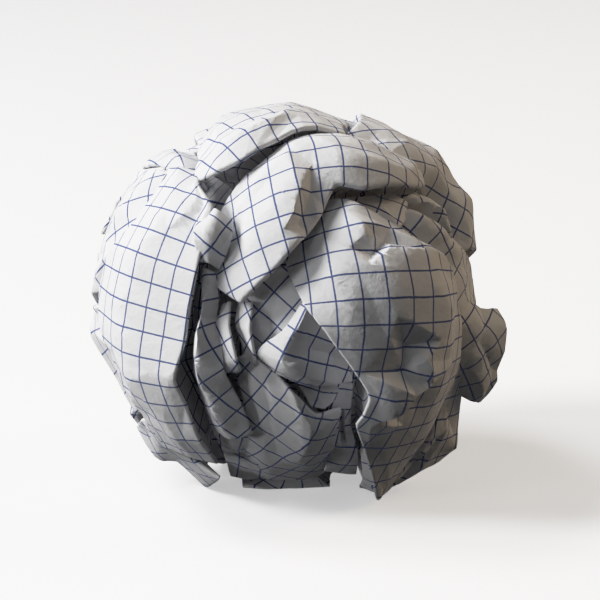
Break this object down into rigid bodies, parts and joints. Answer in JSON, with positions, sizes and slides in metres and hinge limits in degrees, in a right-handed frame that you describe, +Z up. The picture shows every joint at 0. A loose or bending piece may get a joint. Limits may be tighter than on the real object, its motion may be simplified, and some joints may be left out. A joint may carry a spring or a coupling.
{
  "type": "crumpled paper ball",
  "caption": "Ball of crumpled squared paper: overlapping folded panels with rolled edges and deep crevices, resting on a flattened underside.",
  "frame": {"origin": "on the resting surface, under the middle of the ball's bounding box", "axes": "+Z up from the surface the ball rests on; -Y towards the front, where the large right-hand panel and the tall left-hand panel meet at the hollow; +X to the right seen from the front, towards the torn corner that sticks out"},
  "size_m": [0.0894, 0.0888, 0.0835],
  "materials": {
    "paper": "uncoated off-white writing paper, printed with a fine dark blue grid of 5 mm squares"
  },
  "bodies": {
    "root": {"crumpled_sheet": "paper"}
  },
  "joints": []
}
